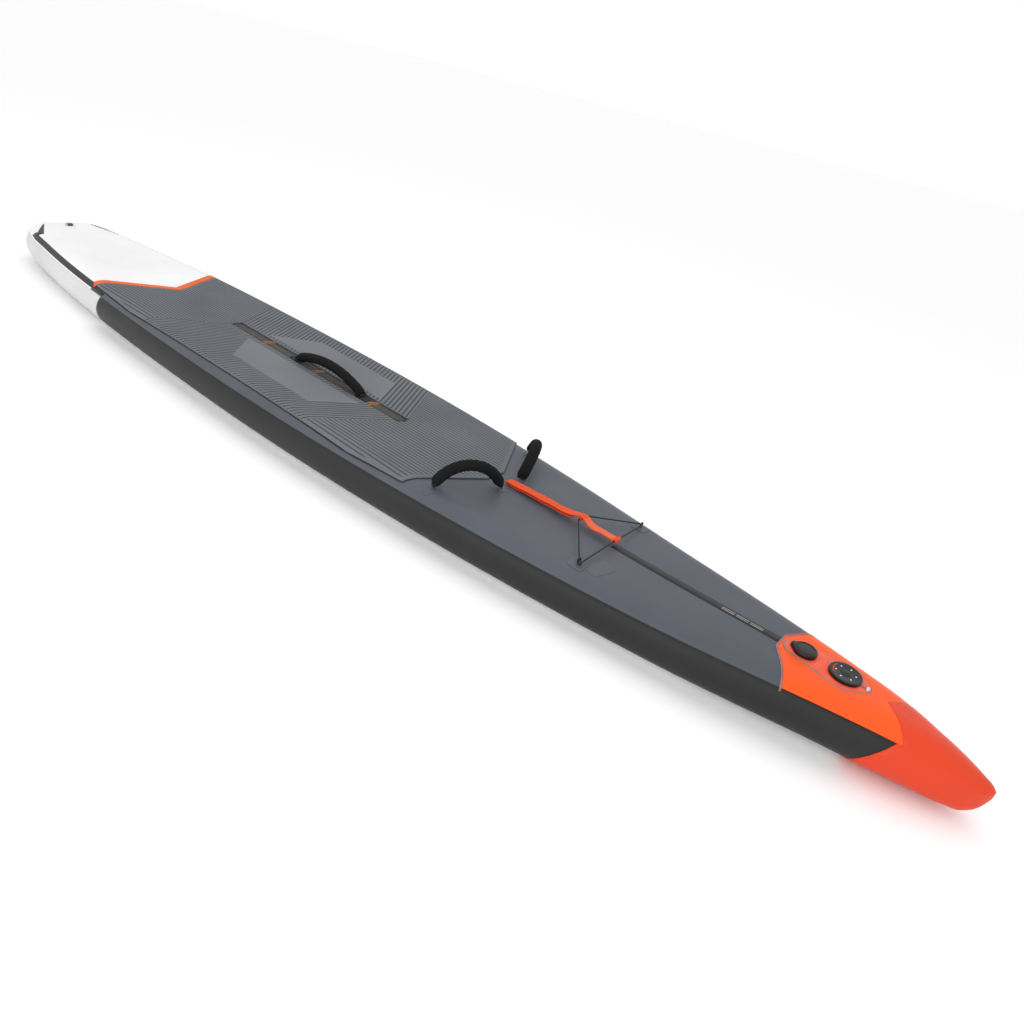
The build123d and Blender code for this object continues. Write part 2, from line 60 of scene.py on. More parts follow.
# ------------------------------------------------------------------ materials
class Finish:
    """A node material with a few short ways to add colour, roughness and bump."""

    def __init__(self, name, colour, roughness=0.5, **sockets):
        self.material = bpy.data.materials.new(name)
        self.material.use_nodes = True
        self.tree = self.material.node_tree
        self.shader = self.tree.nodes["Principled BSDF"]
        self.shader.inputs["Base Color"].default_value = (*colour, 1)
        self.shader.inputs["Roughness"].default_value = roughness
        for socket, value in sockets.items():
            self.shader.inputs[socket.replace("_", " ")].default_value = value
        self.colour = None
        self.last_bump = None

    def node(self, kind, **values):
        found = self.tree.nodes.new(kind)
        for key, value in values.items():
            if key in found.inputs:
                found.inputs[key].default_value = value
            else:
                setattr(found, key, value)
        return found

    def link(self, source, target):
        self.tree.links.new(source, target)

    def place(self, scale=(1, 1, 1)):
        """Object coordinates, stretched."""
        coords = self.node("ShaderNodeTexCoord").outputs["Object"]
        mapping = self.node("ShaderNodeMapping")
        mapping.inputs["Scale"].default_value = scale
        self.link(coords, mapping.inputs["Vector"])
        return mapping.outputs["Vector"]

    def noise(self, scale, detail=3.0, stretch=(1, 1, 1)):
        texture = self.node("ShaderNodeTexNoise")
        texture.inputs["Scale"].default_value = scale
        texture.inputs["Detail"].default_value = detail
        self.link(self.place(stretch), texture.inputs["Vector"])
        return texture.outputs["Fac"]

    def waves(self, scale, direction):
        texture = self.node("ShaderNodeTexWave", bands_direction=direction)
        texture.inputs["Scale"].default_value = scale
        self.link(self.place(), texture.inputs["Vector"])
        return texture.outputs["Fac"]

    def blend(self, factor, low, high, limits=(0.3, 0.7)):
        """Base colour between two colours, by a factor; a second blend multiplies the first."""
        ramp = self.node("ShaderNodeValToRGB")
        ramp.color_ramp.elements[0].position = limits[0]
        ramp.color_ramp.elements[1].position = limits[1]
        ramp.color_ramp.elements[0].color = (*low, 1)
        ramp.color_ramp.elements[1].color = (*high, 1)
        self.link(factor, ramp.inputs["Fac"])
        if self.colour is not None:
            mix = self.node("ShaderNodeMix", data_type="RGBA", blend_type="MULTIPLY")
            mix.inputs["Factor"].default_value = 1.0
            self.link(self.colour, mix.inputs["A"])
            self.link(ramp.outputs["Color"], mix.inputs["B"])
            self.colour = mix.outputs["Result"]
        else:
            self.colour = ramp.outputs["Color"]
        self.link(self.colour, self.shader.inputs["Base Color"])

    def rough(self, factor, low, high):
        span = self.node("ShaderNodeMapRange")
        span.inputs["To Min"].default_value = low
        span.inputs["To Max"].default_value = high
        self.link(factor, span.inputs["Value"])
        self.link(span.outputs["Result"], self.shader.inputs["Roughness"])

    def bump(self, height, depth, strength=1.0):
        bump = self.node("ShaderNodeBump")
        bump.inputs["Strength"].default_value = strength
        bump.inputs["Distance"].default_value = depth
        self.link(height, bump.inputs["Height"])
        if self.last_bump is not None:
            self.link(self.last_bump, bump.inputs["Normal"])
        self.last_bump = bump.outputs["Normal"]
        self.link(self.last_bump, self.shader.inputs["Normal"])


def tint(colour, share):
    """A colour made darker or lighter by a share, and no lighter than white."""
    return tuple(min(1.0, share * part) for part in colour)


def coated_fabric(name, colour, lift=1.12, roughness=(0.42, 0.56)):
    """PVC-coated fabric: soft cloudiness, a fine cloth print-through and faint creases."""
    finish = Finish(name, colour, 0.5, Specular_IOR_Level=0.32)
    finish.blend(finish.noise(3.0, 4.0), tint(colour, 0.92), tint(colour, lift))
    finish.rough(finish.noise(14.0), *roughness)
    finish.bump(finish.noise(900.0, 2.0), 0.00015, 0.5)
    finish.bump(finish.noise(6.0, 2.0, (1, 1.6, 1)), 0.004, 0.12)
    return finish.material


def webbing(name, colour):
    """Woven tape: a fine twill of ribs across and along."""
    finish = Finish(name, colour, 0.75, Sheen_Weight=0.05, Specular_IOR_Level=0.2)
    finish.blend(finish.noise(1400.0, 2.0), tint(colour, 0.72), colour)
    finish.bump(finish.waves(420.0, "X"), 0.0003, 0.5)
    finish.bump(finish.waves(420.0, "Y"), 0.0003, 0.4)
    return finish.material


def moulded(name, colour, roughness, coat=0.0):
    """Moulded plastic: fine grain and slightly uneven gloss."""
    finish = Finish(name, colour, roughness, Coat_Weight=coat, Specular_IOR_Level=0.3)
    finish.blend(finish.noise(40.0), tint(colour, 0.88), tint(colour, 1.08))
    finish.rough(finish.noise(60.0), roughness - 0.08, roughness + 0.08)
    finish.bump(finish.noise(1500.0, 2.0), 0.0001, 0.4)
    return finish.material


deck_grey = coated_fabric("deck_grey_coating", (0.074, 0.079, 0.098))
deck_patch_grey = coated_fabric("deck_patch_coating", (0.080, 0.085, 0.105))
tail_white = coated_fabric("tail_white_coating", (0.80, 0.80, 0.81), 1.05)
# painted shade: the rail wrap is the tail's white coating, coloured darker because its side turns away from
# the light
rail_white_painted_shade = coated_fabric("rail_coating_painted_shade", (0.62, 0.62, 0.62), 1.05)
rail_dark = coated_fabric("rail_charcoal_coating", (0.013, 0.0125, 0.0125))
nose_orange = coated_fabric("nose_orange_coating", (0.90, 0.090, 0.001), 1.03, (0.36, 0.5))
bottom_white = coated_fabric("bottom_white_coating", (0.66, 0.66, 0.66), 1.05)
tape_dark = coated_fabric("dark_tape", (0.018, 0.018, 0.020))
cap_red = coated_fabric("nose_cap_red", (0.70, 0.046, 0.007), 1.05, (0.34, 0.42))
plate_coral = moulded("valve_plate_coral", (0.84, 0.100, 0.042), 0.45)
edge_grey = moulded("plate_edge_grey", (0.27, 0.16, 0.15), 0.5)
black_plastic = moulded("black_plastic", (0.008, 0.008, 0.009), 0.4)
black_gloss = moulded("black_gloss_plastic", (0.006, 0.006, 0.007), 0.22, 0.1)
seal_rubber = moulded("seal_rubber", (0.02, 0.02, 0.02), 0.6)
mark_white = moulded("mark_white", (0.75, 0.75, 0.75), 0.5)
mark_red = moulded("mark_red", (0.6, 0.03, 0.02), 0.5)
tag_clear = moulded("tag_pale_plastic", (0.62, 0.60, 0.60), 0.35)
fin_box_black = moulded("fin_box_plastic", (0.02, 0.02, 0.022), 0.45)
orange_webbing = webbing("orange_webbing", (0.90, 0.085, 0.012))
orange_print = webbing("strap_pale_print", (0.88, 0.16, 0.06))
black_webbing = webbing("black_webbing", (0.009, 0.009, 0.010))
tail_webbing = webbing("tail_webbing", (0.10, 0.10, 0.10))
orange_thread = webbing("orange_thread", (0.85, 0.30, 0.13))
bungee_black = webbing("bungee_braid", (0.028, 0.028, 0.031))


def foam(name, colour):
    """Closed-cell foam: fine pores and slight shade changes from wear."""
    finish = Finish(name, colour, 0.8, Specular_IOR_Level=0.2)
    finish.blend(finish.noise(5.0, 4.0), tint(colour, 0.93), tint(colour, 1.07))
    finish.bump(finish.noise(1800.0, 2.0), 0.0002, 0.6)
    return finish.material


pad_smooth = foam("pad_foam_smooth", (0.160, 0.168, 0.182))
trim_orange = foam("trim_foam_orange", (0.74, 0.135, 0.035))


def woven_strip_finish():
    finish = Finish("woven_strip_brown", (0.10, 0.088, 0.078), 0.8, Specular_IOR_Level=0.2)
    finish.blend(finish.waves(150.0, "X"), (0.045, 0.041, 0.037), (0.125, 0.114, 0.103))
    finish.bump(finish.waves(150.0, "X"), 0.0006, 0.7)
    finish.bump(finish.waves(150.0, "Y"), 0.0006, 0.7)
    return finish.material


def sleeve_finish():
    finish = Finish("sleeve_fabric", (0.010, 0.010, 0.010), 0.9, Specular_IOR_Level=0.12)
    finish.blend(finish.noise(900.0, 2.0), (0.004, 0.004, 0.0045), (0.013, 0.013, 0.014))
    finish.bump(finish.noise(700.0, 3.0), 0.0006, 0.8)
    finish.bump(finish.noise(60.0, 3.0), 0.003, 0.35)
    return finish.material


def steel_finish(name):
    finish = Finish(name, (0.55, 0.55, 0.56), 0.28, Metallic=1.0)
    finish.rough(finish.noise(300.0), 0.2, 0.38)
    finish.bump(finish.noise(900.0), 0.0001, 0.3)
    return finish.material


woven_strip = woven_strip_finish()
sleeve_fabric = sleeve_finish()
ring_steel = steel_finish("ring_steel")
spring_steel = steel_finish("spring_steel")


# ------------------------------------------------------------------ making pieces
def smooth(obj, angle):
    """Smooth shading, with edges sharper than an angle kept crisp."""
    for face in obj.data.polygons:
        face.use_smooth = True
    bpy.context.view_layer.objects.active = obj
    obj.select_set(True)
    bpy.ops.object.shade_smooth_by_angle(angle=math.radians(angle))
    obj.select_set(False)


def face_up(bm):
    """A sheet's faces are turned so that most of them point upwards."""
    bmesh.ops.recalc_face_normals(bm, faces=bm.faces)
    if sum(1 if f.normal.z > 0 else -1 for f in bm.faces) < 0:
        bmesh.ops.reverse_faces(bm, faces=bm.faces)


def strip_of(bm, rows, closed=False):
    """Rows of edges are bridged into one sheet."""
    pairs = list(zip(rows, rows[1:])) + ([(rows[-1], rows[0])] if closed else [])
    for near, far in pairs:
        bmesh.ops.bridge_loops(bm, edges=near + far)


def add_piece(name, bm, material, body="board", slot=None, replaces=(), sharp=35, recalc=True):
    """A finished piece: its mesh, its finish, the body it rides on and the nodes it stands for."""
    if recalc:
        bmesh.ops.recalc_face_normals(bm, faces=bm.faces)
    mesh = bpy.data.meshes.new(name)
    bm.to_mesh(mesh)
    bm.free()
    obj = bpy.data.objects.new(name, mesh)
    bpy.context.scene.collection.objects.link(obj)
    materials = material if isinstance(material, (list, tuple)) else [material]
    for one in materials:
        mesh.materials.append(one)
    smooth(obj, sharp)
    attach(obj, body)
    if replaces:
        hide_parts(*replaces)
    return obj


def thicken(obj, thickness, offset=-1.0):
    """A sheet gets a wall, which goes inwards unless told otherwise."""
    wall = obj.modifiers.new("thickness", "SOLIDIFY")
    wall.thickness = thickness
    wall.offset = offset
    wall.use_even_offset = False
    return obj


def curve_through(points, value):
    """A monotone-friendly cubic through points (a, value...), for smooth hull lines."""
    for k in range(len(points) - 1):
        if value <= points[k + 1][0] or k == len(points) - 2:
            break
    left, right = points[k], points[k + 1]
    before = points[k - 1] if k > 0 else None
    after = points[k + 2] if k + 2 < len(points) else None
    span = right[0] - left[0]
    t = min(1.0, max(0.0, (value - left[0]) / span))
    found = []
    for index in range(1, len(left)):
        slope = (right[index] - left[index]) / span
        m0 = m1 = slope
        if before is not None:
            s0 = (left[index] - before[index]) / (left[0] - before[0])
            w = left[0] - before[0]
            m0 = (s0 * span + slope * w) / (span + w)
        if after is not None:
            s1 = (after[index] - right[index]) / (after[0] - right[0])
            w = after[0] - right[0]
            m1 = (s1 * span + slope * w) / (span + w)
        t2, t3 = t * t, t * t * t
        found.append(
            (2 * t3 - 3 * t2 + 1) * left[index] + (t3 - 2 * t2 + t) * span * m0
            + (-2 * t3 + 3 * t2) * right[index] + (t3 - t2) * span * m1
        )
    return found


# ------------------------------------------------------------------ hull lines
# each station: a, half width, bottom, top
HULL = [
    (0.225, 0.223, 0.000, 0.156), (0.600, 0.272, 0.000, 0.156), (1.050, 0.307, 0.000, 0.156),
    (1.525, 0.325, 0.000, 0.156), (2.000, 0.330, 0.000, 0.156), (2.475, 0.314, 0.000, 0.156),
    (2.950, 0.276, 0.000, 0.156), (3.400, 0.218, 0.000, 0.156), (3.560, 0.194, 0.002, 0.159),
    (3.720, 0.165, 0.006, 0.163), (3.900, 0.128, 0.010, 0.166), (4.040, 0.098, 0.009, 0.164),
    (4.140, 0.068, 0.009, 0.151), (4.200, 0.046, 0.015, 0.135), (4.240, 0.028, 0.028, 0.121),
    (4.262, 0.014, 0.058, 0.112), (4.270, 0.005, 0.084, 0.105),
]
TAIL_END = 0.225
RAIL = THICKNESS / 2
TAIL_CORNER = 0.117
TAIL_HALF = 0.168
TAIL_SPREAD = 0.24
TAIL_KICK = 0.010


def hull_at(a):
    """Half width, bottom and top of the hull at a place along it."""
    if a >= TAIL_END:
        return curve_through(HULL, a)
    first = RAIL * (1 - math.cos(math.radians(12)))
    inset = a + first
    short = max(0.0, TAIL_CORNER - inset)
    tall = math.sqrt(RAIL**2 - max(0.0, RAIL - inset) ** 2)
    half = TAIL_HALF + TAIL_SPREAD * (inset - first) - TAIL_CORNER + math.sqrt(TAIL_CORNER**2 - short**2)
    if inset > TAIL_CORNER:
        t = (inset - TAIL_CORNER) / (TAIL_END + first - TAIL_CORNER)
        straight = TAIL_HALF + TAIL_SPREAD * (TAIL_CORNER - first)
        half = straight + (HULL[0][1] - straight) * (t * 0.8 + 0.2 * t * t)
    middle = RAIL + TAIL_KICK * max(0.0, 1 - inset / TAIL_END) ** 2
    return half, middle - tall, middle + tall


def hull_point(a, angle, grow=0.0, inward=0.0):
    """A point on the hull at a rail angle: 90 is where the rail meets the deck, and inward is the
    share of the way from there to the centre line."""
    half, low, high = hull_at(a)
    tall = (high - low) / 2 + grow
    half = half + grow
    radius = min(half, tall)
    turn_angle = math.radians(angle)
    side = math.copysign(tall - radius, turn_angle) if abs(angle) > 0.01 else 0.0
    y = (half - radius) + radius * math.cos(turn_angle)
    z = (low + high) / 2 + side + radius * math.sin(turn_angle)
    return Vector((a - HALF_LENGTH, y * (1 - inward), z))


def deck_height(a, y, grow=0.0):
    """Height of the deck surface at a place along and off the centre line."""
    half, low, high = hull_at(a)
    tall = (high - low) / 2 + grow
    half = half + grow
    radius = min(half, tall)
    beyond = abs(y) - (half - radius)
    top = (low + high) / 2 + tall
    if beyond <= 0:
        return top
    return top - radius + math.sqrt(max(0.0, radius**2 - min(beyond, radius) ** 2))


def stations(start, end, step):
    count = max(2, round((end - start) / step))
    return [start + (end - start) * k / count for k in range(count + 1)]


ALONG = (
    [0.0, 0.001, 0.003, 0.006, 0.010, 0.015, 0.021, 0.028, 0.036, 0.045, 0.055, 0.066, 0.078]
    + stations(0.092, TAIL_END, 0.015) + stations(0.26, 3.40, 0.04) + stations(3.42, 4.14, 0.02)
    + stations(4.15, 4.26, 0.008) + [4.264, 4.267, 4.270]
)
DECK_ANGLE = 37.0
BOTTOM_ANGLE = -50.0


def section_points(a, low, high, grow=0.0, deck_columns=14):
    """One half section between two rail angles; past 90 it runs in over the deck or the bottom."""
    points = []
    if low <= -90:
        points += [hull_point(a, -90, grow, 1 - k / 10) for k in range(10)]
    first, last = max(low, -90), min(high, 90)
    count = max(2, round((last - first) / 5))
    points += [hull_point(a, first + (last - first) * k / count, grow) for k in range(count + 1)]
    if high >= 90:
        points += [hull_point(a, 90, grow, k / deck_columns) for k in range(1, deck_columns + 1)]
    return points


def half_shell(low, high, grow=0.0, along=ALONG):
    """The port half of the hull between two rail angles: neighbouring sections are bridged."""
    bm = bmesh.new()
    rows = []
    for a in along:
        verts = [bm.verts.new(p) for p in section_points(a, low, high, grow)]
        rows.append([bm.edges.new((v, w)) for v, w in zip(verts, verts[1:])])
    strip_of(bm, rows)
    bmesh.ops.recalc_face_normals(bm, faces=bm.faces)
    return bm


def cut(bm, point, normal):
    """Keeps what lies behind a plane."""
    geometry = bm.verts[:] + bm.edges[:] + bm.faces[:]
    bmesh.ops.bisect_plane(bm, geom=geometry, plane_co=point, plane_no=normal, clear_outer=True, dist=1e-6)


def mirror_shell(bm):
    """Adds the starboard half, and closes the seam on the centre line."""
    bmesh.ops.mirror(bm, geom=bm.verts[:] + bm.edges[:] + bm.faces[:], matrix=Matrix.Identity(4),
                     merge_dist=1e-5, axis="Y")
    bmesh.ops.remove_doubles(bm, verts=bm.verts, dist=1e-5)
    bmesh.ops.recalc_face_normals(bm, faces=bm.faces)


def x_of(a):
    return a - HALF_LENGTH


def sweep_plane(a, sweep=SWEEP, blunt=0.0):
    """A point and a forward normal for an upright plane that sweeps back to port."""
    return Vector((x_of(a), blunt, 0)), Vector((1, sweep, 0)).normalized()


def face_outwards(bm):
    """An open skin's faces all point away from the hull's axis."""
    bm.normal_update()
    for face in bm.faces:
        centre = face.calc_center_median()
        axis = Vector((max(-1.9, min(1.9, centre.x)), max(-0.1, min(0.1, centre.y)) * 0.5, RAIL))
        if face.normal.dot(centre - axis) < 0:
            face.normal_flip()


def skin(name, bm, material, slot, replaces, thickness=0.0012, halves=True):
    """A skin of the hull, from its port half or from one side alone."""
    if halves:
        mirror_shell(bm)
    face_outwards(bm)
    obj = add_piece(name, bm, material, slot=slot, replaces=replaces, sharp=40, recalc=False)
    return thicken(obj, thickness)


# deck skins
WHITE_EDGE = 1.045
PATCH_EDGE = 3.738
PATCH_SWEEP = 0.62
PATCH_BLUNT = 0.032
UNDER_PATCH = 3.86
UNDER_CAP = 4.11

bm = half_shell(DECK_ANGLE, 90)
cut(bm, *sweep_plane(WHITE_EDGE))
skin("tail_deck_skin", bm, tail_white, "tail_white", ["tail_deck_panel"])

bm = half_shell(DECK_ANGLE, 90)
point, normal = sweep_plane(WHITE_EDGE)
cut(bm, point, -normal)
cut(bm, Vector((x_of(UNDER_PATCH), 0, 0)), Vector((1, 0, 0)))
skin("deck_skin", bm, deck_grey, "deck_grey", ["deck_panel"])

bm = half_shell(DECK_ANGLE, 90, 0.0007)
point, normal = sweep_plane(PATCH_EDGE, -PATCH_SWEEP, PATCH_BLUNT)
cut(bm, point, -normal)
cut(bm, Vector((x_of(PATCH_EDGE), 0, 0)), Vector((-1, 0, 0)))
cut(bm, Vector((x_of(UNDER_CAP), 0, 0)), Vector((1, 0, 0)))
skin("nose_patch_skin", bm, nose_orange, "nose_orange", ["nose_deck_patch"])

# rails: the white one ends at a leaning seam, the dark ones at the nose cap's seam
WHITE_RAIL = 0.970
WHITE_LEAN = 0.18
CAP_SEAM_HEIGHT = 0.134
CAP_LEAN = 0.67
RAIL_END = 4.075
CAP_START = 4.062
for side, name in ((1, "port"), (-1, "starboard")):
    bm = half_shell(BOTTOM_ANGLE, DECK_ANGLE)
    cut(bm, Vector((x_of(WHITE_RAIL), 0, RAIL)), Vector((-1, 0, WHITE_LEAN)))
    cut(bm, Vector((x_of(RAIL_END), 0, CAP_SEAM_HEIGHT)), Vector((1, 0, -CAP_LEAN)))
    if side < 0:
        bmesh.ops.scale(bm, vec=(1, -1, 1), verts=bm.verts)
    skin(f"{name}_rail_skin", bm, rail_dark, "rail_dark", [f"{name}_rail_band"], halves=False)

# the tail's white rail wrap, with painted shade in its darker white
bm = half_shell(BOTTOM_ANGLE, DECK_ANGLE)
cut(bm, Vector((x_of(WHITE_RAIL), 0, RAIL)), Vector((1, 0, -WHITE_LEAN)))
skin("tail_rail_skin", bm, rail_white_painted_shade, "tail_white", ["tail_rail_wrap"])

BOTTOM_END = 3.98
bm = half_shell(-90, BOTTOM_ANGLE)
cut(bm, Vector((x_of(BOTTOM_END), 0, 0)), Vector((1, 0, 0)))
skin("bottom_skin", bm, bottom_white, "bottom_white", ["bottom_panel"])

# nose cap: a deck part behind a swept seam, joined to rails behind a leaning seam
CAP_GROW = 0.0014
CAP_APEX = 4.004
CAP_SWEEP = 0.92
cap_along = [a for a in ALONG if a > 3.90]
bm = half_shell(DECK_ANGLE, 90, CAP_GROW, cap_along)
cut(bm, Vector((x_of(CAP_APEX), 0, 0)), Vector((-1, CAP_SWEEP, 0)))
deck_part = bpy.data.meshes.new("nose_cap_deck")
bm.to_mesh(deck_part)
bm.free()
bm = half_shell(-90, DECK_ANGLE, CAP_GROW, cap_along)
cut(bm, Vector((x_of(CAP_START), 0, CAP_SEAM_HEIGHT)), Vector((-1, 0, CAP_LEAN)))
bm.from_mesh(deck_part)
bpy.data.meshes.remove(deck_part)
bmesh.ops.remove_doubles(bm, verts=bm.verts, dist=1e-5)
skin("nose_cap_shell", bm, cap_red, "cap_red", ["nose_cap"], 0.002)

# ------------------------------------------------------------------ pad
PAD_THICK = 0.005
PAD_TAIL = 1.056
PAD_NOSE = 2.800
PAD_SIDE = 0.288
PAD_CORNER = 0.268
PAD_BLUNT = 0.040
KNEE_TAIL = 1.20
KNEE_NOSE = 2.45
CORNER_TAIL = 0.903
CORNER_NOSE = 2.670
RIDGE_TAIL = 1.467
RIDGE_NOSE = 2.400
SLOT_ENDS = (1.450, 2.392)
SLOT_HALF = 0.025
RIDGE_PITCH = 0.0183
RIB_PITCH = 0.0140
GROOVE = 0.0016


def pad_side(a):
    """How far off the centre line the pad's edge lies."""
    if a < KNEE_TAIL:
        return PAD_CORNER + (PAD_SIDE - PAD_CORNER) * (a - CORNER_TAIL) / (KNEE_TAIL - CORNER_TAIL)
    if a > KNEE_NOSE:
        return PAD_SIDE - (PAD_SIDE - PAD_CORNER) * (a - KNEE_NOSE) / (CORNER_NOSE - KNEE_NOSE)
    return PAD_SIDE


def tail_edge(y):
    return PAD_TAIL - SWEEP * abs(y)


def nose_edge(y):
    return PAD_NOSE - SWEEP * max(0.0, abs(y) - PAD_BLUNT)


def ridge_tail(y):
    line = RIDGE_TAIL - SWEEP * abs(y)
    return min(line, SLOT_ENDS[0]) if abs(y) < SLOT_HALF + 0.004 else line


def ridge_nose(y):
    line = RIDGE_NOSE - SWEEP * abs(y)
    return max(line, SLOT_ENDS[1]) if abs(y) < SLOT_HALF else line


def groove_shape(place, pitch, width=0.42):
    """A ribbed profile: flat ridges with rounded grooves between them, from 0 to 1 deep."""
    t = (place / pitch) % 1.0
    inside = abs(t - 0.5) / (width / 2)
    return 0.5 + 0.5 * math.cos(math.pi * inside) if inside < 1 else 0.0


def smooth_zone(a, y):
    """1 inside the smooth standing zone, 0 well outside it."""
    off = abs(y)
    limits = (off - 0.048, 0.195 - off, a - (1.560 + 0.85 * off), (2.254 - SWEEP * off) - a)
    depth = min(limits)
    return max(0.0, min(1.0, 0.5 + depth / 0.004))


def field(tail_line, nose_line, rows, columns, groove, half=None):
    """A ribbed foam sheet between two lines across the pad: a grid is laid on the deck."""
    bm = bmesh.new()
    bmesh.ops.create_grid(bm, x_segments=rows, y_segments=columns, size=0.5)
    zone = bm.verts.layers.float.new("groove_depth")
    for vert in bm.verts:
        u, v = vert.co.x + 0.5, vert.co.y + 0.5
        if half:
            guess = half[0] + (half[1] - half[0]) * v
        else:
            guess = (2 * v - 1) * PAD_SIDE
        a = tail_line(guess) + (nose_line(guess) - tail_line(guess)) * u
        y = guess * (1 + (pad_side(a) / PAD_SIDE - 1) * min(1.0, abs(guess) / 0.2))
        a = tail_line(y) + (nose_line(y) - tail_line(y)) * u
        depth = groove(a, y)
        vert[zone] = depth
        vert.co = Vector((x_of(a), y, deck_height(a, y, PAD_THICK) - GROOVE * depth))
    return bm


def finish_field(name, bm, replaces=(), zoned=False):
    """A foam field; a zoned one has the smooth foam inside the standing zone."""
    face_up(bm)
    for face in bm.faces:
        centre = face.calc_center_median()
        if zoned and smooth_zone(centre.x + HALF_LENGTH, centre.y) > 0.5:
            face.material_index = 1
    obj = add_piece(name, bm, [pad_ribbed_groove_shade, pad_smooth], slot="pad_foam", replaces=replaces, sharp=60,
                    recalc=False)
    thicken(obj, 0.0044)


def ribbed_foam_groove_shade():
    """Foam with painted shade in its grooves: the grooves are coloured darker than its ridges."""
    finish = Finish("pad_foam_ribbed_groove_shade", (0.140, 0.150, 0.160), 0.8, Specular_IOR_Level=0.2)
    depth = finish.node("ShaderNodeAttribute", attribute_name="groove_depth").outputs["Fac"]
    finish.blend(finish.noise(5.0, 4.0), (0.93, 0.93, 0.93), (1.07, 1.07, 1.07))
    # painted shade: the deeper the groove, the darker its colour
    finish.blend(depth, (0.136, 0.146, 0.158), (0.042, 0.045, 0.049), (0.05, 0.75))
    finish.bump(finish.noise(1800.0, 2.0), 0.0002, 0.6)
    return finish.material


pad_ribbed_groove_shade = ribbed_foam_groove_shade()


def long_ribs(a, y):
    """Grooves along the board, fading out at a plain border."""
    border = min(a - tail_edge(y), nose_edge(y) - a, pad_side(a) - abs(y))
    return groove_shape(y, RIB_PITCH) if border > 0.010 else 0.0


def cross_ribs(a, y):
    """Chevron grooves, none in the smooth zone, and a plain border at the pad's side."""
    border = min(pad_side(a) - abs(y), abs(y) - SLOT_HALF)
    if border < 0.005:
        return 0.0
    return groove_shape(a + SWEEP * abs(y), RIDGE_PITCH, 0.5) * (1 - smooth_zone(a, y))


# rows along and across: about eight to a rib, and few where no rib crosses
FINE_LONG = 408
FINE_WIDE = 328
COARSE = 44

finish_field("pad_tail_field", field(tail_edge, ridge_tail, COARSE, FINE_WIDE, long_ribs),
             replaces=["traction_pad"])
finish_field("pad_nose_field", field(ridge_nose, nose_edge, COARSE, FINE_WIDE, long_ribs))
for side, name in ((1, "pad_ridged_port"), (-1, "pad_ridged_starboard")):
    bm = field(ridge_tail, ridge_nose, FINE_LONG, COARSE, cross_ribs,
               half=(side * (SLOT_HALF + 0.0005), side * PAD_SIDE))
    finish_field(name, bm, zoned=True)

# dark pinline round the pad's edge
edge_line = []
for y in stations(-PAD_CORNER, PAD_CORNER, 0.02):
    edge_line.append((nose_edge(y), y))
for a in reversed(stations(0.92, 2.66, 0.06)):
    edge_line.append((a, pad_side(a)))
for y in reversed(stations(-PAD_CORNER, PAD_CORNER, 0.02)):
    edge_line.append((tail_edge(y), y))
for a in stations(0.92, 2.66, 0.06):
    edge_line.append((a, -pad_side(a)))


def ribbon_on_deck(name, line, width, material, grow, thickness, closed=False, columns=1, **words):
    """A narrow flat band laid on the deck along a line of places. Width may be a function of the
    share of the way along it."""
    bm = bmesh.new()
    rows = []
    count = len(line)
    for k, (a, y) in enumerate(line):
        before = line[(k - 1) % count] if (closed or k > 0) else line[k]
        after = line[(k + 1) % count] if (closed or k < count - 1) else line[k]
        along = Vector((after[0] - before[0], after[1] - before[1])).normalized()
        wide = width(k / (count - 1)) if callable(width) else width
        side = Vector((-along.y, along.x)) * wide
        row = []
        for c in range(columns + 1):
            share = c / columns - 0.5
            pa, py = a + share * side.x, y + share * side.y
            row.append(bm.verts.new((x_of(pa), py, deck_height(pa, py, grow))))
        rows.append([bm.edges.new(pair) for pair in zip(row, row[1:])])
    strip_of(bm, rows, closed)
    face_up(bm)
    obj = add_piece(name, bm, material, recalc=False, **words)
    return thicken(obj, thickness)


ribbon_on_deck("pad_edge_line", edge_line, 0.0035, tape_dark, grow=0.0015, thickness=0.0012, closed=True,
               slot="rail_dark")

# orange trim at the pad's tail edge
trim_line = [(tail_edge(y) - 0.0165, y) for y in stations(-PAD_CORNER, PAD_CORNER, 0.0134)]
ribbon_on_deck("pad_trim", trim_line, 0.030, trim_orange, grow=0.0055, thickness=0.005, columns=5,
               slot="trim_orange", replaces=["pad_trim_strip"])

# woven strip in the slot, its dark borders and the stitch marks
ribbon_on_deck("woven_strip", [(a, 0.0) for a in stations(SLOT_ENDS[0] + 0.001, SLOT_ENDS[1] - 0.001, 0.05)],
               0.0490, woven_strip, grow=0.0016, thickness=0.0014, slot="woven_strip",
               replaces=["pad_centre_strip"])
for side, name in ((1, "strip_border_port"), (-1, "strip_border_starboard")):
    line = [(a, side * 0.0225) for a in stations(SLOT_ENDS[0] + 0.004, SLOT_ENDS[1] - 0.004, 0.05)]
    ribbon_on_deck(name, line, 0.0035, tape_dark, grow=0.0026, thickness=0.001, slot="rail_dark")
for number, a in enumerate((1.659, 1.950, 2.242)):
    for k in (-1, 1):
        line = [(a + 0.006 * k + 0.3 * y, y) for y in stations(-0.021, 0.021, 0.006)]
        ribbon_on_deck(f"strip_stitch_{number}_{k + 1}", line, 0.0022, orange_thread, grow=0.0030,
                       thickness=0.001, slot="thread_orange",
                       replaces=["strip_stitches"] if number == 0 and k < 0 else ())

# pale line along the nose patch's tail edge
patch_line = [(PATCH_EDGE + PATCH_SWEEP * max(0.0, abs(y) - PATCH_BLUNT) + 0.001, y)
              for y in stations(-0.138, 0.138, 0.006)]
ribbon_on_deck("nose_patch_line", patch_line, 0.0045, edge_grey, grow=0.0014, thickness=0.0012,
               slot="edge_grey")

# centre stripe and shoulder tapes
ribbon_on_deck("centre_stripe", [(a, 0.0) for a in stations(3.236, 3.740, 0.0106)], 0.028, tape_dark,
               grow=0.0007, thickness=0.0007, slot="rail_dark", replaces=["centre_stripe_tape"])

